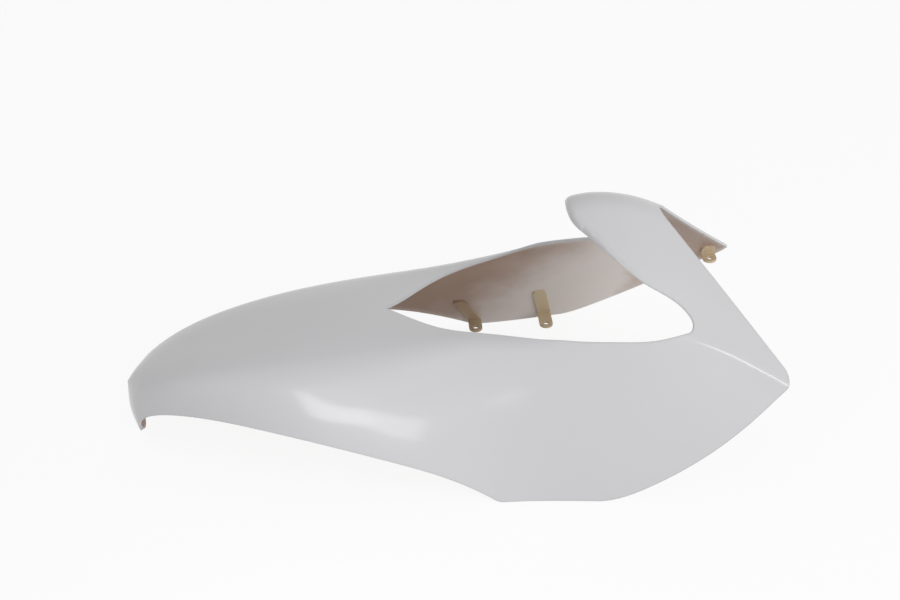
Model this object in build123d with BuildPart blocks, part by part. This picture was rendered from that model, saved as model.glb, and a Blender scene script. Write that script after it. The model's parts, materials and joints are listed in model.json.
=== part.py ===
"""Front body fairing of a motor scooter: one moulded shell, hood and two wings with a bridge behind.

+X runs from the nose to the tail, +Y to the far wing, +Z up. The origin is on the ground, midway along
the length and on the plane of symmetry. Stations along the length are measured from the nose.
"""
import os
from math import cos, radians, sin, tan

from build123d import *

# Overall form
overall_length = 690.0
wall = 3.0
nose_rake = 7.0

# Hood, from the nose back to the tip of the opening: heights are of its crest
nose_height = 63.0
nose_crest_rise = 2.0
nose_half_width = 7.0
nose_shoulder_drop = 3.0
brow_station = 30.0
brow_height = 90.5
brow_half_width = 38.5
brow_shoulder_drop = 6.5
hood_mid_station = 120.0
hood_mid_height = 117.0
hood_mid_half_width = 71.0
hood_length = 289.0
hood_height = 138.5
hood_half_width = 85.0
hood_shoulder_drop = 4.5
hood_shoulder_reach = 22.0

# Shoulder of the wings beside the opening, measured from the hood and from the opening's edge
saddle_reach = 20.0
saddle_crest_drop = 10.5
saddle_shoulder_rise = 7.5
saddle_draw_in = 5.0
side_shoulder_rise = 11.5
side_spread = 0.6
strut_shoulder_rise = 9.5
strut_spread = 4.5

# Wings, with their feet flat on the ground: half-widths are at ground level
wing_crown = 0.04
brow_spread = 3.0
cheek_station = 60.0
cheek_half_width = 58.0
jaw_half_width = 98.0
flare_half_width = 168.0
foot_station = 393.0
foot_length = 102.0
foot_front_half_width = 166.5
foot_rear_half_width = 176.0
tail_half_width = 193.0
foot_radius = 20.0

# Lower edge between the beak and the wings
beak_depth = 4.0
beak_radius = 12.0
beak_notch_height = 43.0
beak_notch_station = 25.0
cheek_edge_height = 58.0
cheek_edge_station = 63.0
lower_edge_height = 64.0
lower_edge_station = 150.0
flank_edge_height = 53.0
flank_edge_station = 250.0
wing_edge_height = 29.0
wing_edge_station = 335.0

# Rear corner of the wings, with the edge that rises to it from the foot
corner_half_width = 138.0
corner_height = 105.0
corner_radius = 11.0
corner_edge_reach = 6.0
corner_edge_rise = 1.5
corner_edge_slope = 0.75
tail_edge_height = 57.5
tail_edge_setback = 68.0
heel_edge_height = 16.5
heel_edge_setback = 145.0
heel_edge_slope = 0.05

# Bridge across the wings
bridge_setback = 99.0
bridge_length = 107.0
bridge_front_height = 264.0
bridge_crown_height = 267.0
bridge_rear_height = 243.0
roof_crown = 0.045
crest_reach = 26.0
crease_reach = 4.0
rear_edge_lean = 5.5

# Opening between hood and bridge: setbacks are from the rear corner and from the bridge's front
opening_tip_half_width = 18.0
opening_tip_station = 310.0
opening_front_half_width = 48.0
opening_front_station = 345.0
opening_mid_half_width = 75.0
opening_mid_station = 404.0
opening_side_half_width = 98.4
opening_side_station = 468.0
opening_back_half_width = 105.8
opening_back_setback = 170.0
opening_rear_half_width = 107.5
opening_rear_setback = 130.0
opening_end_half_width = 103.5
opening_end_width = 10.0
opening_end_sweep = 19.0
strut_width = 96.0
bridge_cheek_half_width = 73.2
bridge_cheek_setback = 72.0
bridge_brow_half_width = 34.2
bridge_brow_setback = 14.0
bridge_lip_half_width = 20.6
bridge_lip_setback = 2.0
bridge_lip_reach = 2.3

# Mounting tabs inside the wings: two above each foot and one in each rear corner
tab_width = 16.0
tab_thickness = 3.0
tab_hole_diameter = 6.5
foot_tab_height = 9.0
foot_tab_leg = 44.0
foot_tab_spacing = 86.0
front_tab_inset = 27.5
rear_tab_inset = 38.0
corner_tab_setback = 20.0
corner_tab_inset = 16.0
corner_tab_drop = 8.0
corner_tab_leg = 16.0

# Construction of the form: it is made past its edges and then trimmed
section_count = 30
nose_bias = 1.5
rounding_share = 0.45
margin = 60.0
skirt_depth = 40.0
nose_lead = 2.0
ground_lead = 6.0
run_up_reach = 25.0
run_up_rise = 46.5
run_up_start = 59.0
tail_crest_fall = 25.0
tail_shoulder_fall = 45.0
tail_shoulder_spread = 40.0

# Stations, widths and heights that follow from the sizes
rake = radians(nose_rake)
corner_station = overall_length
bridge_rear_station = corner_station - bridge_setback
bridge_front_station = bridge_rear_station - bridge_length
bridge_crown_station = bridge_front_station + bridge_length / 2
saddle_station = opening_front_station + saddle_reach
side_half_width = opening_side_half_width + side_spread
strut_half_width = opening_end_half_width + strut_spread
foot_rear_station = foot_station + foot_length
tail_station = corner_station + margin / 2
form_end = tail_station + margin
beak_station = nose_height * tan(rake)
top = bridge_crown_height + margin

os.makedirs("parts", exist_ok=True)


def along(station):
    """X of a station measured from the nose."""
    return station - overall_length / 2


def station_plane(station):
    """Plane of a cross-section, leaning forward at the top like the nose."""
    return Plane(origin=(along(station), 0, 0), x_dir=(0, 1, 0), z_dir=(cos(rake), 0, sin(rake)))


# Rails that the cross-sections hang on: the crest, the shoulder and the wing's line at ground level
with BuildLine(Plane.XZ) as crest_rail:
    Spline(
        (along(-nose_lead), nose_height + nose_crest_rise),
        (along(brow_station), brow_height),
        (along(hood_mid_station), hood_mid_height),
        (along(hood_length), hood_height),
        (along(saddle_station), hood_height - saddle_crest_drop),
        (along(bridge_front_station - run_up_start), hood_height - saddle_crest_drop),
        (along(bridge_front_station - run_up_reach), hood_height + run_up_rise),
        (along(bridge_front_station), bridge_front_height),
        (along(bridge_crown_station), bridge_crown_height),
        (along(bridge_rear_station), bridge_rear_height),
        (along(form_end), bridge_rear_height - tail_crest_fall),
    )
with BuildLine() as shoulder_rail:
    Spline(
        (along(-nose_lead), nose_half_width, nose_height - nose_shoulder_drop),
        (along(brow_station), brow_half_width, brow_height - brow_shoulder_drop),
        (along(hood_mid_station), hood_mid_half_width, hood_mid_height - hood_shoulder_drop),
        (along(hood_length), hood_half_width, hood_height - hood_shoulder_drop),
        (along(saddle_station), hood_half_width - saddle_draw_in, hood_height + saddle_shoulder_rise),
        (along(opening_side_station), side_half_width, hood_height + side_shoulder_rise),
        (along(bridge_rear_station), strut_half_width, hood_height + strut_shoulder_rise),
        (along(corner_station), corner_half_width, corner_height),
        (along(form_end), corner_half_width + tail_shoulder_spread, corner_height - tail_shoulder_fall),
    )
with BuildLine() as ground_rail:
    Spline(
        (along(beak_station - ground_lead), nose_half_width),
        (along(brow_station), brow_half_width + brow_spread),
        (along(cheek_station), cheek_half_width),
        (along(hood_mid_station), jaw_half_width),
        (along(hood_length), flare_half_width),
        (along(foot_station), foot_front_half_width),
        (along(foot_rear_station), foot_rear_half_width),
        (along(form_end), tail_half_width),
    )


def crossing(rail, plane):
    """Point where a rail passes through a plane, in the plane's own coordinates."""
    return plane.to_local_coords(rail.edge().intersect(plane)[0].center())


def radius_for(before, at, after, reach):
    """Radius of a rounded corner that starts a reach before the corner, within the runs beside it."""
    turn = radians((at - before).get_angle(after - at))
    longest = rounding_share * min((at - before).length, (after - at).length)
    return min(reach, longest) / tan(turn / 2)


def crowned_middle(start, end, crown):
    """Middle of a run, moved outwards by a share of its length."""
    run = end - start
    return (start + end) / 2 + Vector(run.Y, -run.X) * crown


def section_points(station):
    """Right-hand corners of a cross-section: skirt, mid wing, shoulder, mid roof and crest."""
    plane = station_plane(station)
    crest = Vector(0, crossing(crest_rail, plane).Y)
    shoulder = crossing(shoulder_rail, plane)
    ground = crossing(ground_rail, plane)
    waist = crowned_middle(ground, shoulder, wing_crown)
    roof = crowned_middle(shoulder, crest, roof_crown)
    skirt = ground + (ground - waist).normalized() * skirt_depth
    return skirt, waist, shoulder, roof, crest


def shoulder_reach(station):
    """Soft on the hood, sharpening to a crease at the bridge."""
    share = (station - hood_length) / (bridge_rear_station - hood_length)
    share = min(max(share, 0), 1)
    return hood_shoulder_reach + (crease_reach - hood_shoulder_reach) * share


def section_outline(station):
    """Open outline of a cross-section from skirt over the crest to skirt, with its corner radii."""
    right = section_points(station)
    skirt, waist, shoulder, roof, crest = right
    left = [Vector(-point.X, point.Y) for point in reversed(right[:-1])]
    radii = [
        radius_for(skirt, waist, shoulder, overall_length),
        radius_for(waist, shoulder, roof, shoulder_reach(station)),
        radius_for(shoulder, roof, crest, overall_length),
    ]
    crest_radius = radius_for(roof, crest, left[0], crest_reach)
    return [*right, *left], [*radii, crest_radius, *reversed(radii)]


def drawn_in(corners, inset):
    """Corners of the same outline with every run moved inwards."""
    runs = [(end - start).normalized() for start, end in zip(corners, corners[1:])]
    sides = [Vector(-run.Y, run.X) for run in runs]
    middle = [(a + b) / (1 + a.dot(b)) for a, b in zip(sides, sides[1:])]
    return [point + side * inset for point, side in zip(corners, [sides[0], *middle, sides[-1]])]


def form(inset, first_station):
    """Closed form over the cross-sections behind a station, drawn in by inset and as much behind it."""
    with BuildPart() as body:
        for count in range(section_count):
            share = count / (section_count - 1)
            station = first_station + (tail_station - first_station) * share ** nose_bias
            corners, radii = section_outline(station)
            corners = drawn_in(corners, inset)
            radii = [radius - inset for radius in radii]
            with BuildSketch(station_plane(station + inset)):
                with BuildLine():
                    FilletPolyline(*corners, radius=radii)
                    Line(corners[-1], corners[0])
                make_face()
        loft()
    return body


outer = form(0, beak_station)
inner = form(wall, beak_station)
lining = form(wall + tab_thickness, hood_length)

# Side view of what stays of the shell: beak, lower edge, feet, rear corners and the bridge's rear edge
with BuildSketch(Plane.XZ) as side_view:
    with BuildLine():
        beak_front = (along(-margin), 0)
        beak_back = (along(beak_station + beak_depth), 0)
        foot_front = (along(foot_station), 0)
        foot_rear = (along(foot_rear_station), 0)
        corner = (along(corner_station + corner_edge_reach), corner_height + corner_edge_rise)
        bridge_rear = (along(bridge_rear_station - rear_edge_lean), bridge_rear_height - crest_reach / 3)
        rise = Vector(*bridge_rear) - Vector(*corner)
        above = Vector(*bridge_rear) + rise * (margin / rise.Y)
        Line(beak_front, beak_back)
        Spline(
            beak_back,
            (along(beak_notch_station), beak_notch_height),
            (along(cheek_edge_station), cheek_edge_height),
            (along(lower_edge_station), lower_edge_height),
            (along(flank_edge_station), flank_edge_height),
            (along(wing_edge_station), wing_edge_height),
            foot_front,
        )
        Line(foot_front, foot_rear)
        Spline(
            foot_rear,
            (along(corner_station - heel_edge_setback), heel_edge_height),
            (along(corner_station - tail_edge_setback), tail_edge_height),
            corner,
            tangents=[(1, heel_edge_slope), (1, corner_edge_slope)],
        )
        Line(corner, above)
        Polyline(above, (along(-margin), above.Y), beak_front)
    make_face()
    fillet(side_view.vertices().sort_by_distance(corner)[0], corner_radius)
    fillet(side_view.vertices().sort_by_distance(foot_front)[0], foot_radius)

# Plan view of the opening: a drop behind the hood that runs in under the bridge on both sides
with BuildSketch() as opening:
    with BuildLine():
        tip = (along(hood_length), 0)
        bridge_tip = (along(bridge_front_station - bridge_lip_reach), 0)
        wing_end = (along(corner_station - strut_width), opening_end_half_width)
        strut_end = (
            wing_end[0] + opening_end_width * tan(radians(opening_end_sweep)),
            opening_end_half_width - opening_end_width,
        )
        edge = Spline(
            tip,
            (along(opening_tip_station), opening_tip_half_width),
            (along(opening_front_station), opening_front_half_width),
            (along(opening_mid_station), opening_mid_half_width),
            (along(opening_side_station), opening_side_half_width),
            (along(corner_station - opening_back_setback), opening_back_half_width),
            (along(corner_station - opening_rear_setback), opening_rear_half_width),
            wing_end,
        )
        end = TangentArc(wing_end, strut_end, tangent=edge % 1)
        Spline(
            strut_end,
            (along(bridge_front_station + bridge_cheek_setback), bridge_cheek_half_width),
            (along(bridge_front_station + bridge_brow_setback), bridge_brow_half_width),
            (along(bridge_front_station + bridge_lip_setback), bridge_lip_half_width),
            bridge_tip,
            tangents=[end % 1, (0, -1)],
        )
        Line(bridge_tip, tip)
    make_face()
    mirror(about=Plane.XZ)

# Front view of what is cut away below the round tip of the beak
with BuildSketch(Plane.YZ.offset(along(-margin))) as beak_trim:
    Rectangle(2 * cheek_half_width, beak_radius, align=(Align.CENTER, Align.MIN))
    with Locations((0, beak_radius)):
        Circle(beak_radius, mode=Mode.SUBTRACT)

# Bolt holes of the tabs inside the wing, with the length of the leg that each tab stands on
tab_places = (
    ((along(foot_station), foot_front_half_width - front_tab_inset, foot_tab_height), foot_tab_leg),
    (
        (along(foot_station + foot_tab_spacing), foot_rear_half_width - rear_tab_inset, foot_tab_height),
        foot_tab_leg,
    ),
    (
        (
            along(corner_station - corner_tab_setback),
            corner_half_width - corner_tab_inset,
            corner_height - corner_tab_drop,
        ),
        corner_tab_leg,
    ),
)

# Bent straps: a leg lying on the inside of the wing and a foot with a bolt hole that turns inwards
with BuildPart() as tabs:
    for hole, leg in tab_places:
        with Locations(hole):
            Box(tab_width, margin, leg, align=(Align.CENTER, Align.MIN, Align.MIN))
    add(lining.part, mode=Mode.SUBTRACT)
    for hole, leg in tab_places:
        with BuildSketch(Plane(hole)):
            Circle(tab_width / 2)
            Rectangle(tab_width, margin, align=(Align.CENTER, Align.MIN))
            Circle(tab_hole_diameter / 2, mode=Mode.SUBTRACT)
        extrude(amount=tab_thickness)
    add(outer.part, mode=Mode.INTERSECT)
    mirror(about=Plane.XZ)

with BuildPart() as fairing_shell:
    add(outer.part)
    add(inner.part, mode=Mode.SUBTRACT)
    extrude(side_view.sketch, amount=overall_length, both=True, mode=Mode.INTERSECT)
    extrude(opening.sketch, amount=top, mode=Mode.SUBTRACT)
    extrude(beak_trim.sketch, amount=margin + beak_notch_station, mode=Mode.SUBTRACT)
    add(tabs.part)

fairing_shell.part.label = "fairing_shell"
export_step(fairing_shell.part, "parts/fairing_shell.step")
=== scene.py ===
"""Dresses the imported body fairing: a painted shell with a raw inside, its mounting tabs and a studio."""
import json
from math import atan2, cos, pi, radians, sin, sqrt, tan

import bmesh
import bpy
import numpy as np
from bpy.props import FloatProperty, FloatVectorProperty, IntProperty, PointerProperty
from mathutils import Matrix, Quaternion, Vector
from mathutils.geometry import delaunay_2d_cdt
from mathutils.kdtree import KDTree


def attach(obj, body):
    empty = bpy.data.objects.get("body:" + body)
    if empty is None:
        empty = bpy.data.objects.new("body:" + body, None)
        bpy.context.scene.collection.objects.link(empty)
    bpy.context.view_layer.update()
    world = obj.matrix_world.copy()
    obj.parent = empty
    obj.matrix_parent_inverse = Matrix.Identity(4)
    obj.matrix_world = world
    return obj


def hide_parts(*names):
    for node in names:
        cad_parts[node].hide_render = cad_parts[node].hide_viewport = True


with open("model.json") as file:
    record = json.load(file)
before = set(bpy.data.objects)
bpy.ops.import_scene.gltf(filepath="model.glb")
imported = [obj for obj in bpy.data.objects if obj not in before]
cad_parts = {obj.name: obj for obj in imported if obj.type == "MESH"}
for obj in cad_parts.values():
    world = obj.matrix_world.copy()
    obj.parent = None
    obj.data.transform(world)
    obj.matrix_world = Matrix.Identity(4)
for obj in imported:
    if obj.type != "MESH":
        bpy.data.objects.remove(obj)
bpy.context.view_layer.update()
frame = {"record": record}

bl_info = {
    "name": "Body fairing",
    "version": (1, 0, 0),
    "blender": (4, 5, 0),
    "location": "View3D > Sidebar > Fairing",
    "description": "Builds a moulded body fairing with its mounting tabs in a plain studio",
    "category": "Object",
}

SOLID = "fairing_shell"
BODY = "root"

# Lines that the cross-sections hang on, in metres: stations are measured from the nose
LENGTH = 0.690
RAKE = radians(7.0)
CREST_LINE = (
    (-0.002, 0.0650),
    (0.005, 0.0752),
    (0.014, 0.0826),
    (0.030, 0.0905),
    (0.060, 0.1022),
    (0.120, 0.1170),
    (0.289, 0.1385),
    (0.365, 0.1280),
    (0.425, 0.1280),
    (0.451, 0.1850),
    (0.476, 0.2630),
    (0.5375, 0.2670),
    (0.591, 0.2430),
    (0.780, 0.2180),
)
SHOULDER_LINE = (
    (-0.002, 0.0070, 0.0600),
    (0.030, 0.0385, 0.0840),
    (0.120, 0.0710, 0.1125),
    (0.289, 0.0850, 0.1340),
    (0.365, 0.0800, 0.1460),
    (0.467, 0.0990, 0.1500),
    (0.591, 0.1080, 0.1480),
    (0.690, 0.1380, 0.1050),
    (0.780, 0.1780, 0.0600),
)
GROUND_LINE = (
    (0.0017, 0.0070),
    (0.030, 0.0415),
    (0.060, 0.0580),
    (0.120, 0.0980),
    (0.289, 0.1680),
    (0.393, 0.1665),
    (0.495, 0.1752),
    (0.780, 0.1770),
)
WING_CROWN = 0.04
ROOF_CROWN = 0.045
CREST_REACH = 0.026
HOOD_REACH = 0.022
CREASE_REACH = 0.004
HOOD_END = 0.289
CREASE_START = 0.591
ROUNDING_SHARE = 0.45
SKIRT = 0.040
NOSE_STATION = 0.063 * tan(RAKE)
NOSE_SWELL = 0.0052
NOSE_SWELL_LENGTH = 0.040
NOSE_SWELL_FOOT = -0.002
NOSE_SWELL_TOP = 0.067
TAIL_STATION = 0.730

# Side view of the lower and rear edges: station and height
LOWER_EDGE = (
    (NOSE_STATION + 0.004, 0.0),
    (0.025, 0.0430),
    (0.063, 0.0580),
    (0.150, 0.0640),
    (0.250, 0.0530),
    (0.335, 0.0290),
    (0.393, 0.0),
)
FOOT_END = (0.495, 0.0)
TAIL_EDGE = ((0.545, 0.0140), (0.622, 0.0540))
REAR_CORNER = (0.6972, 0.1068)
TAIL_SLOPES = ((1.0, 0.05), (1.0, 0.75))
CORNER_RADIUS = 0.011
BRIDGE_REAR = (0.5855, 0.2343)
BEAK_RADIUS = 0.012
FOOT_RADIUS = 0.020

# Plan view of the opening: station and half-width
WING_EDGE = (
    (0.289, 0.0),
    (0.310, 0.0180),
    (0.345, 0.0480),
    (0.404, 0.0750),
    (0.468, 0.0984),
    (0.520, 0.1058),
    (0.560, 0.1075),
    (0.594, 0.1035),
)
STRUT_END = (0.5975, 0.0935)
BRIDGE_EDGE = ((0.556, 0.0732), (0.4965, 0.0342), (0.4825, 0.0206), (0.4775, 0.0))

# Fineness of the surface lattice and of the curves
STEP = 0.001
LATTICE_WIDTH = 380
ARC_STEPS = 24
CURVE_SAMPLES = 2000
WIDTH_ROUNDS = 8
EDGE_CLEARANCE = 0.7
CDT_SLACK = 1e-6
RIM_OFFSET = 2
SEAM_SLACK = 2e-5
LIP_LOW = 0.195
LIP_FADE = 0.045
LIP_BACK = 0.205
NOSE_SOFT_REACH = 0.036
NOSE_SOFT_ROUNDS = 40
HALF_WIDTH_COLUMN = 40
REAR_SAMPLES = 300
REAR_OVERRUN = 1.3
REAR_HALVINGS = 50
FOOT_SAMPLES = 100
TAB_BITE = 0.0002
TAB_CORNER_SHARE = 0.3
HOLE_STEPS = 32

# Finish: scales are of noise over metres, shades and shares are of a colour
CLOUD_SCALE = 7.0
CLOUD_SHADE = 0.975
SMUDGE_SCALE = 24.0
SMUDGE_ROUGHNESS = 0.10
PEEL_SCALE = 420.0
# Painted dark reflection: along the free edges the paint darkens towards this shade, standing in for the
# darker room that the edges mirror
EDGE_REFLECTION_SHADE = 0.72
EDGE_REFLECTION_SHARE = 0.35
FLOW_SCALE = 9.0
FLOW_STRETCH = (2.5, 1, 0.7)
FLOW_SHADES = (0.84, 1.14)
FLOW_ROUGHNESS = 0.12
GRAIN_SCALE = 900.0
GRAIN_SHADE = 0.6
GRAIN_SHARE = 0.12
PATCH_SCALE = 26.0
RAW_ROUGHNESS = 0.5
RIM_MIST = 0.4
WRAP_START = 0.6
WRAP_FOOT = 0.9

# Lamps: place, point that it faces, lean about that line, width, height, power in watts and colour
WHITE = (1, 1, 1)
COOL_WHITE = (0.96, 0.95, 1)
LAMPS = {
    "key_softbox": ((1.33, -1.29, 0.945), (0.05, 0, 0.1), 0, 1.5, 1.5, 22.3, WHITE),
    "corner_strip": ((0.87, -1.54, 1.16), (0.31, -0.125, 0.12), 0, 0.35, 0.325, 2.6, (0.95, 0.94, 1)),
    "front_strip": (
        (-0.235, -0.417, 0.247), (-0.110, -0.11, 0.090), radians(18), 0.215, 0.062, 0.215, COOL_WHITE),
    "rear_strip": (
        (-0.091, -0.449, 0.247), (-0.050, -0.125, 0.080), radians(-12), 0.185, 0.080, 0.155, COOL_WHITE),
}
UNMIRRORED_LAMP = "key_softbox"
LAMP_EDGE = 0.25
FLOOR_REACH = 40.0


def along(station):
    """X of a station measured from the nose."""
    return station - LENGTH / 2


def smooth_curve(points, end_slopes=None, count=CURVE_SAMPLES):
    """Samples of the smooth cubic through points, with unit speed along its chords."""
    points = np.array(points, float)
    knots = np.concatenate([[0], np.cumsum(np.linalg.norm(np.diff(points, axis=0), axis=1))])
    gaps = np.diff(knots)[:, None]
    rises = np.diff(points, axis=0) / gaps
    last = len(points) - 1
    degree = min(3, last)
    system = np.eye(last + 1)
    known = np.zeros_like(points)
    if end_slopes is None:
        known[0] = np.polyfit(knots[: degree + 1], points[: degree + 1], degree)[-2]
        known[-1] = np.polyfit(knots[-degree - 1:] - knots[-1], points[-degree - 1:], degree)[-2]
    else:
        known[0], known[-1] = [np.array(slope) / np.linalg.norm(slope) for slope in end_slopes]
    for i in range(1, last):
        before, after = 1 / gaps[i - 1, 0], 1 / gaps[i, 0]
        system[i, i - 1: i + 2] = before, 2 * (before + after), after
        known[i] = 3 * (rises[i - 1] * before + rises[i] * after)
    slopes = np.linalg.solve(system, known)
    places = np.linspace(0, knots[-1], count)
    span = np.clip(np.searchsorted(knots, places, side="right") - 1, 0, last - 1)
    gap = gaps[span]
    share = ((places - knots[span])[:, None]) / gap
    return (
        points[span] * (1 + 2 * share) * (1 - share) ** 2
        + slopes[span] * gap * share * (1 - share) ** 2
        + points[span + 1] * share ** 2 * (3 - 2 * share)
        + slopes[span + 1] * gap * share ** 2 * (share - 1)
    )


def resampled(points, gap):
    """The same path with points about a gap apart, ends kept."""
    points = np.array(points, float)
    lengths = np.concatenate([[0], np.cumsum(np.linalg.norm(np.diff(points, axis=0), axis=1))])
    count = max(2, int(round(lengths[-1] / gap)) + 1)
    places = np.linspace(0, lengths[-1], count)
    return np.stack([np.interp(places, lengths, axis) for axis in points.T], axis=1)


def rounded(corners, reaches):
    """A path through corners, each inner corner rounded by an arc that starts a reach before it."""
    path = [corners[0]]
    for before, at, after, reach in zip(corners, corners[1:], corners[2:], reaches):
        lengths = np.linalg.norm(at - before), np.linalg.norm(after - at)
        reach = min(reach, ROUNDING_SHARE * min(lengths))
        come, leave = (at - before) / lengths[0], (after - at) / lengths[1]
        turn = np.arccos(np.clip(come @ leave, -1, 1))
        inward = (leave - come * cos(turn)) / sin(turn)
        radius = reach / tan(turn / 2)
        for angle in np.linspace(0, turn, ARC_STEPS + 1):
            path.append(at - come * reach + radius * (sin(angle) * come + (1 - cos(angle)) * inward))
    path.append(corners[-1])
    return np.array(path)


def crowned_middle(start, end, crown):
    """Middle of a run, moved outwards by a share of its length."""
    run = end - start
    return (start + end) / 2 + np.array((run[1], -run[0])) * crown


class Form:
    """The outer surface as a lattice: rows are cross-sections, columns run from the crest down."""

    def __init__(self, nose_depth):
        crest = smooth_curve([(along(x), 0, z) for x, z in CREST_LINE])
        shoulder = smooth_curve([(along(x), y, z) for x, y, z in SHOULDER_LINE])
        ground = smooth_curve([(along(x), y, 0) for x, y in GROUND_LINE])
        self.rails = [(rail[:, 0] + rail[:, 2] * tan(RAKE), rail) for rail in (crest, shoulder, ground)]
        nose_rows = int(round(pi * nose_depth / STEP))
        turns = np.linspace(0, pi / 2, nose_rows, endpoint=False)
        first = NOSE_STATION + nose_depth
        self.stations = np.concatenate(
            [NOSE_STATION + nose_depth * (1 - np.cos(turns)), np.arange(first, TAIL_STATION, STEP)]
        )
        narrowing = np.concatenate([np.sin(turns), np.ones(len(self.stations) - nose_rows)])
        self.lattice = np.array([self.section(t, n) for t, n in zip(self.stations, narrowing)])
        share = (self.lattice[:, :, 2] - NOSE_SWELL_FOOT) / (NOSE_SWELL_TOP - NOSE_SWELL_FOOT)
        fade = np.clip(1 - (self.stations - NOSE_STATION) / NOSE_SWELL_LENGTH, 0, 1) ** 2
        self.lattice[:, :, 0] -= NOSE_SWELL * np.sin(pi * np.clip(share, 0, 1)) * fade[:, None]

    def rail_points(self, station):
        """Where the crest, the shoulder and the ground line cross a section, in its plane."""
        points = []
        for keys, rail in self.rails:
            width = np.interp(along(station), keys, rail[:, 1])
            height = np.interp(along(station), keys, rail[:, 2])
            points.append(np.array((width, height / cos(RAKE))))
        return points

    def section(self, station, narrowing):
        """Points of a cross-section at even steps from the crest down to the skirt."""
        crest, shoulder, ground = self.rail_points(station)
        waist = crowned_middle(ground, shoulder, WING_CROWN)
        roof = crowned_middle(shoulder, crest, ROOF_CROWN)
        skirt = ground + (ground - waist) / np.linalg.norm(ground - waist) * SKIRT
        share = np.clip((station - HOOD_END) / (CREASE_START - HOOD_END), 0, 1)
        soft = HOOD_REACH + (CREASE_REACH - HOOD_REACH) * share
        corners = [roof * (-1, 1), crest, roof, shoulder, waist, skirt]
        path = rounded(corners, [CREST_REACH, LENGTH, soft, LENGTH])
        path = path[1 + ARC_STEPS // 2:]
        lengths = np.concatenate([[0], np.cumsum(np.linalg.norm(np.diff(path, axis=0), axis=1))])
        places = np.arange(LATTICE_WIDTH) * STEP
        width = np.interp(places, lengths, path[:, 0]) * narrowing
        height = np.interp(places, lengths, path[:, 1])
        return np.stack([along(station) - height * sin(RAKE), width, height * cos(RAKE)], axis=1)

    def row(self, station):
        """Row of the lattice that a station lies on, with a share of the next one."""
        return np.interp(station, self.stations, np.arange(len(self.stations)))

    def column_points(self, row):
        """Points down the lattice at a row between two rows."""
        low = min(int(row), len(self.lattice) - 2)
        share = row - low
        return self.lattice[low] * (1 - share) + self.lattice[low + 1] * share

    def at_height(self, station, height):
        """Row and column of the lowest place of that height on the side-view point's section."""
        row = self.row(station + height * tan(RAKE))
        heights = self.column_points(row)[:, 2]
        low = np.nonzero(heights >= height)[0]
        low = low[-1] if len(low) else 0
        low = min(low, len(heights) - 2)
        fall = heights[low] - heights[low + 1]
        return row, low + max(0, heights[low] - height) / max(fall, STEP / 1000)

    def at_width(self, station, width):
        """Row and column of the highest place of that half-width under a plan-view point."""
        height = self.rail_points(station)[0][1]
        for _ in range(WIDTH_ROUNDS):
            row = self.row(station + height * tan(RAKE))
            points = self.column_points(row)
            high = max(1, np.argmax(points[:, 1] >= width))
            rise = points[high, 1] - points[high - 1, 1]
            column = high - 1 + (width - points[high - 1, 1]) / max(rise, STEP / 1000)
            height = points[high, 2]
        return row, max(column, 0)

    def place(self, rows, columns, lattice=None):
        """Points of the surface at rows and columns between those of the lattice."""
        lattice = self.lattice if lattice is None else lattice
        r = np.clip(rows.astype(int), 0, lattice.shape[0] - 2)
        c = np.clip(columns.astype(int), 0, lattice.shape[1] - 2)
        u, v = (rows - r)[:, None], (columns - c)[:, None]
        near = lattice[r, c] * (1 - v) + lattice[r, c + 1] * v
        far = lattice[r + 1, c] * (1 - v) + lattice[r + 1, c + 1] * v
        return near * (1 - u) + far * u


def tangent_arc(start, direction, end):
    """Points of the arc that leaves a start in a direction and reaches an end, and its end direction."""
    run = end - start
    normal = run - direction * (run @ direction)
    normal /= np.linalg.norm(normal)
    radius = run @ run / (2 * (run @ normal))
    total = 2 * atan2(run @ normal, run @ direction)
    turns = np.linspace(0, total, ARC_STEPS + 1)[:, None]
    points = start + radius * (np.sin(turns) * direction + (1 - np.cos(turns)) * normal)
    return points, cos(total) * direction + sin(total) * normal


def corner_rounded(path, after, radius):
    """A side-view path whose last point is rounded towards the next corner."""
    at = path[-1]
    come = at - path[-2]
    leave = after - at
    turn = np.arccos(come @ leave / np.linalg.norm(come) / np.linalg.norm(leave))
    reach = radius * tan(turn / 2)
    kept = path[np.linalg.norm(path - at, axis=1) > reach]
    arc = rounded([kept[-1] - (at - kept[-1]) * 2, at, after], [reach])
    return np.concatenate([kept, arc[1:-1]])


def beak_edge(form, last_station):
    """Lattice places of the rounded lower end of the beak, from the middle outwards."""
    places = []
    for row in np.arange(0, form.row(last_station) + 1):
        points = form.column_points(row)
        half = np.minimum(points[:, 1], BEAK_RADIUS)
        spare = points[:, 2] - BEAK_RADIUS + np.sqrt(BEAK_RADIUS ** 2 - half ** 2)
        low = np.nonzero(spare >= 0)[0][-1]
        places.append((row, low + spare[low] / (spare[low] - spare[low + 1])))
    return places


def rear_edge(form, start, through):
    """Lattice places along the straight rear edge, up to where it meets the crest."""
    under, over = 0.0, REAR_OVERRUN
    for _ in range(REAR_HALVINGS):
        middle = (under + over) / 2
        x, z = start + (through - start) * middle
        if form.column_points(form.row(x + z * tan(RAKE)))[0, 2] > z:
            under = middle
        else:
            over = middle
    points = [start + (through - start) * under * share for share in np.linspace(0, 1, REAR_SAMPLES)]
    places = [form.at_height(x, z) for x, z in points[:-1]]
    x, z = points[-1]
    return places + [(form.row(x + z * tan(RAKE)), 0)]


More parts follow.
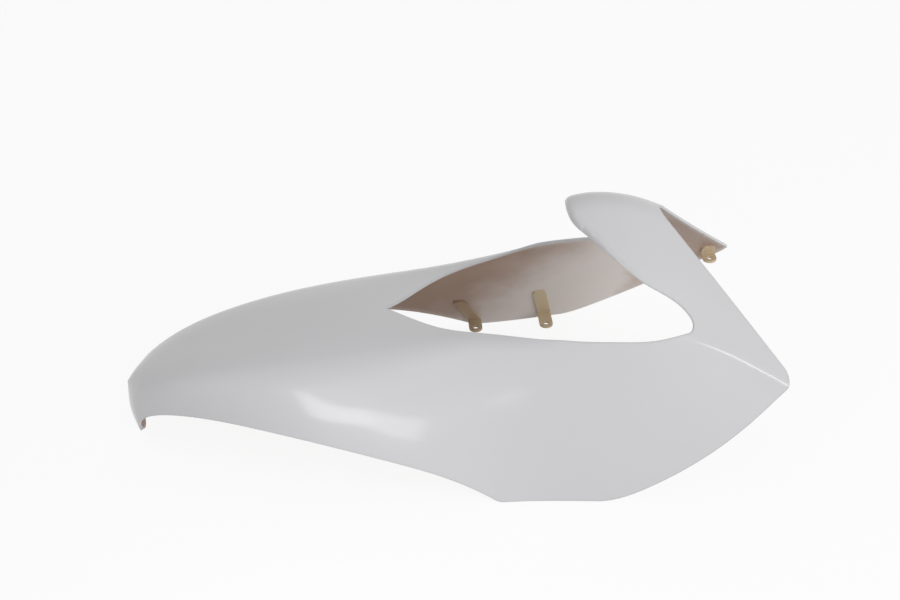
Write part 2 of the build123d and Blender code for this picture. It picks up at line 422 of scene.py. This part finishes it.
def shell_outline(form, gap):
    """The edge of one half of the shell as rows and columns, going once round it."""
    wing = smooth_curve(WING_EDGE)
    come = wing[-1] - wing[-2]
    end_arc, leave = tangent_arc(wing[-1], come / np.linalg.norm(come), np.array(STRUT_END))
    bridge = smooth_curve((STRUT_END,) + BRIDGE_EDGE, (leave, (0, -1)))
    opening = [form.at_width(x, y) for x, y in np.concatenate([wing, end_arc[1:], bridge[1:]])]
    opening[0] = (opening[0][0], 0)
    opening[-1] = (opening[-1][0], 0)
    lower = corner_rounded(smooth_curve(LOWER_EDGE), np.array(FOOT_END), FOOT_RADIUS)
    lower = lower[np.argmax(lower[:, 1] > BEAK_RADIUS):]
    foot = np.linspace(lower[-1], FOOT_END, FOOT_SAMPLES)
    tail = smooth_curve((FOOT_END, *TAIL_EDGE, REAR_CORNER), TAIL_SLOPES)
    tail = corner_rounded(tail, np.array(BRIDGE_REAR), CORNER_RADIUS)
    sides = np.concatenate([lower, foot[1:], tail[1:]])
    low_edge = [form.at_height(max(x, NOSE_STATION), max(z, 0)) for x, z in sides]
    first_station = lower[0][0] + lower[0][1] * tan(RAKE)
    beak = beak_edge(form, first_station)
    rear = rear_edge(form, tail[-1], np.array(BRIDGE_REAR))
    runs = [
        [opening[0], (0, 0)],
        [(0, 0), beak[0]],
        beak + low_edge,
        rear,
        [rear[-1], opening[-1]],
        opening[::-1],
    ]
    return np.concatenate([resampled(run, gap)[:-1] for run in runs])


def inside(points, outline):
    """Which points lie inside a closed outline."""
    crossed = np.zeros(len(points), bool)
    for (x0, y0), (x1, y1) in zip(outline, np.roll(outline, -1, axis=0)):
        spans = (points[:, 1] < y0) != (points[:, 1] < y1)
        if y0 != y1:
            crossed ^= spans & (points[:, 0] < x0 + (points[:, 1] - y0) * (x1 - x0) / (y1 - y0))
    return crossed


def meshed(outline, holes, gap):
    """Points and triangles that fill an outline around its holes with even cells."""
    low, high = outline.min(axis=0), outline.max(axis=0)
    rise = gap * sin(pi / 3)
    columns = np.arange(low[0], high[0], gap)
    rows = np.arange(low[1], high[1], rise)
    grid = np.array([(x + (k % 2) * gap / 2, y) for k, y in enumerate(rows) for x in columns])
    grid = grid[inside(grid, outline)]
    for hole in holes:
        grid = grid[~inside(grid, hole)]
    edge = np.concatenate([outline, *holes])
    tree = KDTree(len(edge))
    for i, (x, y) in enumerate(edge):
        tree.insert((x, y, 0), i)
    tree.balance()
    clear = [tree.find((x, y, 0))[2] > EDGE_CLEARANCE * gap for x, y in grid]
    points = np.concatenate([edge, grid[np.array(clear, bool)]]) if len(grid) else edge
    loops = []
    start = 0
    for loop in (outline, *holes):
        loops.append(list(range(start, start + len(loop))))
        start += len(loop)
    rings = [(a, b) for loop in loops[1:] for a, b in zip(loop, loop[1:] + loop[:1])]
    found = delaunay_2d_cdt([Vector(p) for p in points], rings, loops[:1], 1, CDT_SLACK)
    spots = np.array([tuple(v) for v in found[0]])
    triangles = np.array(found[2])
    middles = spots[triangles].mean(axis=1)
    for hole in holes:
        kept = ~inside(middles, hole)
        triangles, middles = triangles[kept], middles[kept]
    return spots, triangles


def plain_object(name, data):
    """A new object of a mesh, a lamp or a camera, in the scene."""
    piece = bpy.data.objects.new(name, data)
    bpy.context.scene.collection.objects.link(piece)
    return piece


def settled(piece):
    """Turns a piece's modifiers into plain mesh."""
    shape = piece.evaluated_get(bpy.context.evaluated_depsgraph_get())
    mesh = bpy.data.meshes.new_from_object(shape)
    piece.modifiers.clear()
    old, piece.data = piece.data, mesh
    bpy.data.meshes.remove(old)
    piece.data.name = piece.name


def note_edge_gap(bm):
    """Keeps each point's distance from the nearest free edge in an attribute."""
    layer = bm.verts.layers.float.new("edge_gap")
    rim = [v for v in bm.verts if v.is_boundary]
    tree = KDTree(len(rim))
    for i, v in enumerate(rim):
        tree.insert(v.co, i)
    tree.balance()
    for v in bm.verts:
        v[layer] = tree.find(v.co)[2]


def walled(piece, wall, edge_radius, steps):
    """Gives a skin its wall, inwards, and eases the edges of its rim."""
    solid = piece.modifiers.new("wall", "SOLIDIFY")
    solid.thickness = wall
    solid.offset = -1
    solid.use_even_offset = True
    solid.thickness_clamp = 0
    solid.material_offset = 1
    solid.material_offset_rim = RIM_OFFSET
    settled(piece)
    bm = bmesh.new()
    bm.from_mesh(piece.data)
    weight = bm.edges.layers.float.new("bevel_weight_edge")
    for edge in bm.edges:
        kinds = {face.material_index for face in edge.link_faces}
        edge[weight] = 1.0 if RIM_OFFSET in kinds and len(kinds) > 1 else 0.0
        edge.smooth = True
    for face in bm.faces:
        face.smooth = True
    bm.to_mesh(piece.data)
    bm.free()
    ease = piece.modifiers.new("eased edges", "BEVEL")
    ease.limit_method = "WEIGHT"
    ease.width = edge_radius
    ease.segments = steps
    ease.use_clamp_overlap = True
    ease.harden_normals = True
    settled(piece)


def cut_skin(points, triangles):
    """A bmesh of points and triangles."""
    bm = bmesh.new()
    verts = [bm.verts.new(p) for p in points]
    for a, b, c in triangles:
        bm.faces.new((verts[a], verts[b], verts[c]))
    return bm


def roll_lip(bm, reach):
    """Turns the bridge's front edge down in a round lip that runs out on the struts."""
    rim = [v for v in bm.verts if v.is_boundary and v.co.z > LIP_LOW and v.co.x < LIP_BACK]
    tree = KDTree(len(rim))
    for i, v in enumerate(rim):
        tree.insert(v.co, i)
    tree.balance()
    moves = []
    for v in bm.verts:
        spot, _, gap = tree.find(v.co)
        radius = reach * min(1, (spot.z - LIP_LOW) / LIP_FADE)
        if gap < radius:
            moves.append((v, v.normal * (radius - sqrt(radius ** 2 - (radius - gap) ** 2))))
    for v, move in moves:
        v.co -= move


def shell_skin(form, cell, edge_cell, lip):
    """The whole outer skin as a bmesh: one half and its mirror image, joined along the middle."""
    outline = shell_outline(form, edge_cell / STEP)
    spots, triangles = meshed(outline, [], cell / STEP)
    half = form.place(spots[:, 0], spots[:, 1])
    half[np.abs(half[:, 1]) < SEAM_SLACK, 1] = 0
    triangles = triangles[half[triangles, 1].max(axis=1) > 0]
    points = np.concatenate([half, half * (1, -1, 1)])
    faces = np.concatenate([triangles, triangles[:, ::-1] + len(half)])
    bm = cut_skin(points, faces)
    bmesh.ops.remove_doubles(bm, verts=bm.verts, dist=SEAM_SLACK)
    bmesh.ops.dissolve_degenerate(bm, edges=bm.edges, dist=SEAM_SLACK)
    nose = Vector(form.lattice[0, 0])
    for count in range(NOSE_SOFT_ROUNDS):
        reach = NOSE_SOFT_REACH * (1 - count / NOSE_SOFT_ROUNDS)
        soft = [v for v in bm.verts if (v.co - nose).length < reach and not v.is_boundary]
        bmesh.ops.smooth_vert(bm, verts=soft, factor=0.5, use_axis_x=True, use_axis_y=True, use_axis_z=True)
    bmesh.ops.recalc_face_normals(bm, faces=bm.faces)
    top = max(bm.faces, key=lambda face: face.calc_center_median().z)
    if top.normal.z < 0:
        bmesh.ops.reverse_faces(bm, faces=bm.faces)
    bm.normal_update()
    roll_lip(bm, lip)
    return bm


class Lining:
    """The inside of the wing, where the tabs stand: the surface moved in by a depth."""

    def __init__(self, form, depth):
        self.form = form
        across = np.gradient(form.lattice, axis=1)
        normal = np.cross(across, np.gradient(form.lattice, axis=0))
        normal /= np.maximum(np.linalg.norm(normal, axis=2, keepdims=True), SEAM_SLACK ** 2)
        outward = np.sign(np.sum(normal * form.lattice * (0, 1, 1), axis=2, keepdims=True))
        self.lattice = form.lattice - normal * outward * depth

    def half_width(self, x, height):
        """Half-width of the inside at a length and a height."""
        row = self.form.row(x + LENGTH / 2 + height * tan(RAKE))
        low = int(row)
        points = self.lattice[low] * (1 - row + low) + self.lattice[low + 1] * (row - low)
        return np.interp(-height, -points[HALF_WIDTH_COLUMN:, 2], points[HALF_WIDTH_COLUMN:, 1])


def tab_skin(lining, hole, leg, lean, size):
    """Points and triangles of a strap: down the inside of the wing, round a bend and inwards to its bolt
    hole.
    """
    x, y, z = hole
    half, bend = size.tab_width / 2, size.tab_bend
    level = z - size.tab_thickness / 2
    foot = lining.half_width(x, level + bend) - bend - y
    turn = leg - bend
    middle = turn + bend * pi / 2 + foot
    round_end = [(half * cos(a), middle + half * sin(a)) for a in np.linspace(0, pi, HOLE_STEPS + 1)]
    eased = size.tab_corner
    cut = eased * TAB_CORNER_SHARE
    top = [
        (-half, eased), (-half + cut, cut), (-half + eased, 0),
        (half - eased, 0), (half - cut, cut), (half, eased),
    ]
    outline = resampled(round_end + top + round_end[:1], size.tab_cell)[:-1]
    radius = size.hole_diameter / 2
    turns = np.linspace(0, 2 * pi, HOLE_STEPS + 1)[:-1]
    bolt = np.array([(radius * cos(a), middle + radius * sin(a)) for a in turns])
    spots, triangles = meshed(outline / STEP, [bolt / STEP], size.tab_cell / STEP)
    points = []
    for u, v in spots * STEP:
        if v <= turn:
            height = level + leg - v
            ahead = x + u - lean * (turn - v)
            points.append((ahead, lining.half_width(ahead, height), height))
            continue
        wall = lining.half_width(x + u, level + bend)
        angle = min((v - turn) / bend, pi / 2)
        rest = max(v - turn - bend * pi / 2, 0)
        straight = (y + foot) - (wall - bend)
        share = sin(angle)
        points.append((
            x + u,
            wall - bend * (1 - cos(angle)) + straight * share * share - rest,
            level + bend * (1 - sin(angle)),
        ))
    return np.array(points), triangles


class Wire:
    """A socket of a shader tree that can stand in a Python expression."""

    def __init__(self, shader, socket):
        self.shader = shader
        self.socket = socket

    def math(self, operation, *values):
        """A Math node of values and wires."""
        inputs = dict(enumerate(values))
        return self.shader.node("ShaderNodeMath", {"operation": operation}, inputs)

    def capped(self):
        """The same value, but no more than 1."""
        return self.math("MINIMUM", self, 1.0)

    def __add__(self, other):
        return self.math("ADD", self, other)

    def __sub__(self, other):
        return self.math("SUBTRACT", self, other)

    def __rsub__(self, other):
        return self.math("SUBTRACT", other, self)

    def __mul__(self, other):
        return self.math("MULTIPLY", self, other)

    __radd__ = __add__
    __rmul__ = __mul__


class Shader:
    """Builds the nodes of one material or of the world."""

    def __init__(self, owner):
        owner.use_nodes = True
        self.tree = owner.node_tree
        self.tree.nodes.clear()

    def node(self, kind, settings=None, inputs=None, output=0):
        """A new node with its settings and its sockets' values or links, as a wire from an output."""
        made = self.tree.nodes.new(kind)
        for name, value in (settings or {}).items():
            setattr(made, name, value)
        for key, value in (inputs or {}).items():
            if isinstance(value, Wire):
                self.tree.links.new(value.socket, made.inputs[key])
            else:
                made.inputs[key].default_value = value
        return Wire(self, made.outputs[output]) if made.outputs else None

    def place(self):
        """The piece's own coordinates, in metres."""
        return self.node("ShaderNodeTexCoord", output="Object")

    def noise(self, scale, detail=2.0, stretch=(1, 1, 1)):
        """Soft noise over the piece's own place, from 0 to 1."""
        place = self.node("ShaderNodeMapping", {}, {"Vector": self.place(), "Scale": stretch})
        return self.node("ShaderNodeTexNoise", {}, {"Vector": place, "Scale": scale, "Detail": detail})

    def ramp(self, value, low, high, start=0.0, end=1.0):
        """A value eased from one end to the other as it goes from low to high."""
        settings = {"interpolation_type": "SMOOTHSTEP"}
        inputs = {"Value": value, "From Min": low, "From Max": high, "To Min": start, "To Max": end}
        return self.node("ShaderNodeMapRange", settings, inputs)

    def blend(self, share, first, second):
        """A colour between two."""
        inputs = {0: share, 6: first, 7: second}
        return self.node("ShaderNodeMix", {"data_type": "RGBA"}, inputs, 2)

    def surface(self, **sockets):
        """Ends a material in a Principled surface."""
        names = {name.replace("_", " ").title().replace("Ior", "IOR"): v for name, v in sockets.items()}
        body = self.node("ShaderNodeBsdfPrincipled", {}, names)
        self.node("ShaderNodeOutputMaterial", {}, {"Surface": body})


def colour(rgb, level=1.0):
    """A colour with full alpha, brightened or dimmed."""
    return (*[c * level for c in rgb], 1.0)


def gloss_paint(look):
    """Clear-coated white paint: faint clouds in the colour, a painted dark reflection along the free edges,
    and a fine orange peel under the gloss.
    """
    material = bpy.data.materials.new("gloss_white_paint")
    shader = Shader(material)
    cloud = shader.noise(CLOUD_SCALE, 3.0)
    smudge = shader.noise(SMUDGE_SCALE, 4.0)
    edge = shader.node("ShaderNodeAttribute", {"attribute_name": "edge_gap"}, output="Fac")
    # Painted dark reflection: the colour darkens within this width of a free edge
    thin = shader.ramp(edge, 0.0, look.edge_reflection_width, 1.0, 0.0)
    base = shader.blend(cloud, colour(look.paint, CLOUD_SHADE), colour(look.paint))
    base = shader.blend(thin * EDGE_REFLECTION_SHARE, base, colour(look.paint, EDGE_REFLECTION_SHADE))
    peel = shader.noise(PEEL_SCALE, 1.0)
    bump = shader.node("ShaderNodeBump", {}, {"Strength": 0.03, "Distance": 0.0004, "Height": peel})
    shader.surface(
        base_color=base,
        roughness=smudge * SMUDGE_ROUGHNESS + look.paint_roughness,
        ior=1.48,
        coat_weight=0.6,
        coat_roughness=0.05,
        normal=bump,
    )
    return material


def raw_moulding(look, name, bare, misted_and_lit, rim_share, rest):
    """Bare moulded plastic with a mist of paint over it, more towards the rear and along the edges. The
    rise towards the rear is partly painted light: darker in the shade under the hood, lighter where light
    falls in through the opening, and thinning again by the rest share towards the shaded rear corner.
    """
    material = bpy.data.materials.new(name)
    shader = Shader(material)
    flow = shader.noise(FLOW_SCALE, 4.0, FLOW_STRETCH)
    grain = shader.noise(GRAIN_SCALE, 2.0)
    patch = shader.noise(PATCH_SCALE, 5.0)
    base = shader.blend(flow, *[colour(bare, shade) for shade in FLOW_SHADES])
    base = shader.blend(grain * GRAIN_SHARE, base, colour(bare, GRAIN_SHADE))
    length, height = [shader.node("ShaderNodeSeparateXYZ", {}, {0: shader.place()}, axis) for axis in "XZ"]
    # Paint mist and painted light: this mask lightens the inside from the hood's shade towards the open
    # rear, and thins again in the shaded rear corner
    length = length + (patch - 0.5) * look.mist_light_wander
    sunk = length - (height - look.mist_light_level) * look.mist_light_fall
    mist_and_light = shader.ramp(sunk, look.mist_light_start, look.mist_light_peak)
    mist_and_light = mist_and_light * shader.ramp(length, look.mist_light_hold, look.mist_light_end, 1.0, rest)
    edge = shader.node("ShaderNodeAttribute", {"attribute_name": "edge_gap"}, output="Fac")
    rim = shader.ramp(edge, 0.0, look.mist_width, rim_share, 0.0) * (patch + 0.5)
    # The mist over the rim and the painted light along the length, combined
    mist = mist_and_light + rim - mist_and_light * rim
    base = shader.blend(mist.capped(), base, colour(misted_and_lit))
    if rim_share:
        wrap = shader.ramp(edge, look.wrap_width * WRAP_START, look.wrap_width, 1.0, 0.0)
        wrap = wrap * shader.ramp(height, look.wrap_height * WRAP_FOOT, look.wrap_height)
        base = shader.blend(wrap, base, colour(look.paint))
    bump = shader.node("ShaderNodeBump", {}, {"Strength": 0.12, "Distance": 0.0005, "Height": grain})
    shader.surface(base_color=base, roughness=flow * FLOW_ROUGHNESS + RAW_ROUGHNESS, ior=1.46, normal=bump)
    return material


class FairingSizes(bpy.types.PropertyGroup):
    """Sizes of the shell and its tabs."""

    wall: FloatProperty(
        name="Wall", description="Thickness of the moulding", default=0.003, unit="LENGTH")
    edge_radius: FloatProperty(
        name="Edge radius", description="Easing of the moulding's edges", default=0.0008, unit="LENGTH")
    nose_depth: FloatProperty(
        name="Nose depth", description="Length over which the nose rounds off", default=0.010,
        unit="LENGTH")
    lip: FloatProperty(
        name="Lip", description="Radius of the bridge's rounded front edge", default=0.009, unit="LENGTH")
    cell: FloatProperty(
        name="Cell", description="Size of the shell's mesh cells", default=0.0032, unit="LENGTH")
    edge_cell: FloatProperty(
        name="Edge cell", description="Spacing of points along the edges", default=0.0026, unit="LENGTH")
    edge_steps: IntProperty(
        name="Edge steps", description="Faces across an eased edge", default=2, min=1)
    tab_width: FloatProperty(
        name="Tab width", description="Width of a mounting tab", default=0.016, unit="LENGTH")
    tab_thickness: FloatProperty(
        name="Tab thickness", description="Thickness of a mounting tab", default=0.003, unit="LENGTH")
    tab_bend: FloatProperty(
        name="Tab bend", description="Outer radius of a tab's bend", default=0.004, unit="LENGTH")
    tab_corner: FloatProperty(
        name="Tab corner", description="Easing of a tab's top corners", default=0.003, unit="LENGTH")
    tab_cell: FloatProperty(
        name="Tab cell", description="Size of a tab's mesh cells", default=0.0014, unit="LENGTH")
    foot_leg: FloatProperty(
        name="Foot leg", description="Height of the tabs above the feet", default=0.044, unit="LENGTH")
    corner_leg: FloatProperty(
        name="Corner leg", description="Height of the tabs in the corners", default=0.016, unit="LENGTH")
    front_lean: FloatProperty(
        name="Front lean", description="Forward lean of the front tabs, as a slope", default=0.5)
    rear_lean: FloatProperty(
        name="Rear lean", description="Forward lean of the rear tabs, as a slope", default=0.2)
    hole_diameter: FloatProperty(
        name="Bolt hole", description="Diameter of a tab's bolt hole", default=0.0065, unit="LENGTH")


class FairingLook(bpy.types.PropertyGroup):
    """Colours and finish of the moulding."""

    paint: FloatVectorProperty(
        name="Paint", description="Colour of the outside", subtype="COLOR", default=(0.62, 0.62, 0.63))
    # The bare colour carries the painted shade under the hood, and the mist colour carries the painted
    # light through the opening
    raw: FloatVectorProperty(
        name="Bare plastic", description="Colour of the bare inside", subtype="COLOR",
        default=(0.40, 0.275, 0.205))
    mist: FloatVectorProperty(
        name="Paint mist", description="Colour of the inside under a mist of paint", subtype="COLOR",
        default=(0.79, 0.74, 0.71))
    # All tabs are one plastic: the front colour is its painted shade under the hood, and the rear colour is
    # its lit copy
    shaded_tab: FloatVectorProperty(
        name="Bare tab", description="Colour of the front tabs", subtype="COLOR",
        default=(0.29, 0.175, 0.105))
    lit_tab: FloatVectorProperty(
        name="Pale tab", description="Colour of the rear tabs", subtype="COLOR",
        default=(0.66, 0.55, 0.38))
    # Where the mist and the painted light rise along the length: from the hood's shade to the open rear,
    # thinning again in the shaded rear corner
    mist_light_start: FloatProperty(
        name="Drift start", description="Length at which the mist begins", default=0.04, unit="LENGTH")
    mist_light_peak: FloatProperty(
        name="Drift peak", description="Length at which the mist is full", default=0.19, unit="LENGTH")
    mist_light_hold: FloatProperty(
        name="Drift hold", description="Length up to which the mist is full", default=0.22, unit="LENGTH")
    mist_light_end: FloatProperty(
        name="Drift end", description="Length at which the mist has thinned again", default=0.275,
        unit="LENGTH")
    mist_light_rest: FloatProperty(
        name="Drift rest", description="Share of the mist beyond its end", default=0.15, subtype="FACTOR")
    mist_light_level: FloatProperty(
        name="Drift level", description="Height at which those lengths hold", default=0.10, unit="LENGTH")
    mist_light_fall: FloatProperty(
        name="Drift fall", description="How far forward the mist comes for each length down", default=1.0)
    mist_light_wander: FloatProperty(
        name="Drift wander", description="How far the mist's border wanders", default=0.08, unit="LENGTH")
    paint_roughness: FloatProperty(
        name="Paint roughness", description="Roughness under the clear coat", default=0.26,
        subtype="FACTOR")
    # Width of the painted dark reflection along the free edges
    edge_reflection_width: FloatProperty(
        name="Thin paint", description="Width of the thin paint along edges", default=0.003, unit="LENGTH")
    wrap_width: FloatProperty(
        name="Wrap width", description="How far the paint wraps round the upper edges", default=0.0038,
        unit="LENGTH")
    wrap_height: FloatProperty(
        name="Wrap height", description="Height above which the paint wraps round edges", default=0.105,
        unit="LENGTH")
    mist_width: FloatProperty(
        name="Mist width", description="How far the mist reaches in from edges", default=0.012,
        unit="LENGTH")


class FairingStudio(bpy.types.PropertyGroup):
    """Camera and light."""

    aim: FloatVectorProperty(
        name="Aim", description="Point that the camera looks at", subtype="XYZ",
        default=(0.0128, 0, 0.1435))
    elevation: FloatProperty(
        name="Elevation", description="Camera's angle above the floor", default=radians(32.99),
        unit="ROTATION")
    azimuth: FloatProperty(
        name="Azimuth", description="Camera's turn about the upright", default=radians(2.18),
        unit="ROTATION")
    roll: FloatProperty(
        name="Roll", description="Camera's lean", default=radians(-2.54), unit="ROTATION")
    distance: FloatProperty(
        name="Distance", description="Camera's distance from its aim", default=1.404, unit="LENGTH")
    lens: FloatProperty(
        name="Lens", description="Focal length in millimetres", default=52.36)
    ambient: FloatProperty(
        name="Ambient", description="Strength of the even light all round", default=0.55)
    floor: FloatVectorProperty(
        name="Floor", description="Colour of the floor", subtype="COLOR", default=(0.9, 0.9, 0.9))
    floor_white: FloatProperty(
        name="White floor", description="How far the seen floor is washed to white", default=0.9,
        subtype="FACTOR")


class FAIRING_OT_shell(bpy.types.Operator):
    """Builds the painted shell"""

    bl_idname = "fairing.shell"
    bl_label = "Shell"

    def execute(self, context):
        size, look = context.scene.fairing_sizes, context.scene.fairing_look
        bm = shell_skin(Form(size.nose_depth), size.cell, size.edge_cell, size.lip)
        note_edge_gap(bm)
        mesh = bpy.data.meshes.new("fairing_skin")
        bm.to_mesh(mesh)
        bm.free()
        paint = gloss_paint(look)
        # The inside goes from the bare colour in the hood's painted shade to the mist colour lit through
        # the opening
        lining = raw_moulding(look, "raw_inside", look.raw, look.mist, RIM_MIST, look.mist_light_rest)
        for material in (paint, lining, paint):
            mesh.materials.append(material)
        skin = plain_object("fairing_skin", mesh)
        walled(skin, size.wall, size.edge_radius, size.edge_steps)
        for point in skin.data.vertices:
            point.co.z = max(point.co.z, 0)
        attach(skin, BODY)
        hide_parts(SOLID)
        return {"FINISHED"}


class FAIRING_OT_tabs(bpy.types.Operator):
    """Builds the mounting tabs inside the wings"""

    bl_idname = "fairing.tabs"
    bl_label = "Mounting tabs"

    def execute(self, context):
        size, look = context.scene.fairing_sizes, context.scene.fairing_look
        lining = Lining(Form(size.nose_depth), size.wall - TAB_BITE)
        # The tabs go from the shaded colour at the front to the lit colour at the rear: painted shade and
        # light on one plastic
        bare = raw_moulding(look, "raw_tab", look.shaded_tab, look.lit_tab, 0.0, 1.0)
        for mount in frame["record"]["mounts"]:
            x, y, z = mount["pos_m"]
            leg, lean = {
                "front": (size.foot_leg, size.front_lean),
                "rear": (size.foot_leg, size.rear_lean),
                "corner": (size.corner_leg, 0.0),
            }[mount["name"].split("_")[0]]
            points, triangles = tab_skin(lining, (x, abs(y), z), leg, lean, size)
            points[:, 1] *= np.sign(y)
            bm = cut_skin(points, triangles)
            bmesh.ops.recalc_face_normals(bm, faces=bm.faces)
            low = min(bm.faces, key=lambda face: face.calc_center_median().z)
            if low.normal.z > 0:
                bmesh.ops.reverse_faces(bm, faces=bm.faces)
            note_edge_gap(bm)
            mesh = bpy.data.meshes.new(mount["name"])
            bm.to_mesh(mesh)
            bm.free()
            for _ in range(RIM_OFFSET + 1):
                mesh.materials.append(bare)
            tab = plain_object(mount["name"], mesh)
            walled(tab, size.tab_thickness, size.edge_radius / 2, size.edge_steps)
            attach(tab, BODY)
            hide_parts(SOLID)
        return {"FINISHED"}


def area_lamp(name, place, aim, lean, width, height, power, tint):
    """A rectangular lamp at a place, facing a point, that dims towards its edges."""
    data = bpy.data.lights.new(name, "AREA")
    data.shape = "RECTANGLE"
    data.size, data.size_y = width, height
    data.energy = power
    data.color = tint
    shader = Shader(data)
    spot = shader.node("ShaderNodeNewGeometry", output="Parametric")
    fade = 1.0
    for axis in "XY":
        share = shader.node("ShaderNodeSeparateXYZ", {}, {0: spot}, axis)
        fade = shader.ramp(share * (1 - share), 0.0, LAMP_EDGE * (1 - LAMP_EDGE)) * fade
    glow = shader.node("ShaderNodeEmission", {}, {"Color": colour(WHITE), "Strength": fade})
    shader.node("ShaderNodeOutputLight", {}, {"Surface": glow})
    lamp = plain_object(name, data)
    lamp.location = place
    lamp.visible_camera = False
    lamp.visible_glossy = name != UNMIRRORED_LAMP
    facing = (Vector(aim) - Vector(place)).to_track_quat("-Z", "Y")
    lamp.rotation_euler = (facing @ Quaternion((0, 0, 1), lean)).to_euler()


def seen_rays(shader):
    """1 for rays that see the background: the camera's, and those mirrored or passed on."""
    rays = [shader.node("ShaderNodeLightPath", output=name)
            for name in ("Is Camera Ray", "Is Glossy Ray", "Is Transmission Ray")]
    return (rays[0] + rays[1] + rays[2]).capped()


def pale_floor(studio):
    """A matt floor that is nearly white where it is seen, and keeps the shadows."""
    material = bpy.data.materials.new("pale_floor")
    shader = Shader(material)
    matt = shader.node("ShaderNodeBsdfDiffuse", {}, {"Color": colour(studio.floor)})
    white = shader.node("ShaderNodeEmission", {}, {"Color": colour(WHITE), "Strength": 1.0})
    washed = seen_rays(shader) * studio.floor_white
    mixed = shader.node("ShaderNodeMixShader", {}, {0: washed, 1: matt, 2: white})
    shader.node("ShaderNodeOutputMaterial", {}, {"Surface": mixed})
    corners = [(x * FLOOR_REACH, y * FLOOR_REACH, 0) for x, y in ((-1, -1), (1, -1), (1, 1), (-1, 1))]
    mesh = bpy.data.meshes.new("floor")
    mesh.from_pydata(corners, [], [(0, 1, 2, 3)])
    mesh.materials.append(material)
    floor = plain_object("floor", mesh)


def studio_world(studio):
    """Even light all round, white where it is seen."""
    world = bpy.data.worlds.new("studio")
    shader = Shader(world)
    seen = seen_rays(shader)
    light, white = [
        shader.node("ShaderNodeBackground", {}, {"Color": colour(WHITE), "Strength": strength})
        for strength in (studio.ambient, 1.0)
    ]
    mixed = shader.node("ShaderNodeMixShader", {}, {0: seen, 1: light, 2: white})
    shader.node("ShaderNodeOutputWorld", {}, {"Surface": mixed})
    return world


def studio_camera(studio):
    """The camera at its angle, distance and lean about its aim."""
    up, turn, roll = studio.elevation, studio.azimuth, studio.roll
    back = Vector((-sin(turn) * cos(up), -cos(turn) * cos(up), sin(up)))
    right = Vector((cos(turn), -sin(turn), 0))
    over = back.cross(right)
    right, over = cos(roll) * right + sin(roll) * over, cos(roll) * over - sin(roll) * right
    place = Vector(studio.aim) + back * studio.distance
    data = bpy.data.cameras.new("camera")
    data.lens = studio.lens
    data.dof.use_dof = False
    camera = plain_object("camera", data)
    camera.matrix_world = Matrix((
        (right.x, over.x, back.x, place.x),
        (right.y, over.y, back.y, place.y),
        (right.z, over.z, back.z, place.z),
        (0, 0, 0, 1),
    ))
    return camera


class FAIRING_OT_stage(bpy.types.Operator):
    """Builds the floor, the light and the camera"""

    bl_idname = "fairing.stage"
    bl_label = "Stage"

    def execute(self, context):
        scene, studio = context.scene, context.scene.fairing_studio
        pale_floor(studio)
        scene.world = studio_world(studio)
        for name, setting in LAMPS.items():
            area_lamp(name, *setting)
        scene.camera = studio_camera(studio)
        scene.view_settings.view_transform = "Standard"
        return {"FINISHED"}


class FAIRING_PT_panel(bpy.types.Panel):
    """Sizes, looks and steps of the fairing"""

    bl_idname = "FAIRING_PT_panel"
    bl_label = "Fairing"
    bl_space_type = "VIEW_3D"
    bl_region_type = "UI"
    bl_category = "Fairing"

    def draw(self, context):
        layout = self.layout
        for name in SETTINGS:
            settings = getattr(context.scene, name)
            for key in settings.bl_rna.properties.keys():
                if key not in ("rna_type", "name"):
                    layout.prop(settings, key)
        for step in STEPS:
            layout.operator(step.bl_idname)


SETTINGS = {"fairing_sizes": FairingSizes, "fairing_look": FairingLook, "fairing_studio": FairingStudio}
STEPS = (FAIRING_OT_shell, FAIRING_OT_tabs, FAIRING_OT_stage)


def register():
    """Adds the classes and the settings."""
    for kind in (*SETTINGS.values(), *STEPS, FAIRING_PT_panel):
        bpy.utils.register_class(kind)
    for name, kind in SETTINGS.items():
        setattr(bpy.types.Scene, name, PointerProperty(type=kind))


def unregister():
    """Takes them away again."""
    for name in SETTINGS:
        delattr(bpy.types.Scene, name)
    for kind in (FAIRING_PT_panel, *reversed(STEPS), *reversed(SETTINGS.values())):
        bpy.utils.unregister_class(kind)


def main():
    """Builds every piece and the stage."""
    register()
    bpy.ops.fairing.shell()
    bpy.ops.fairing.tabs()
    bpy.ops.fairing.stage()


if __name__ == "__main__":
    main()
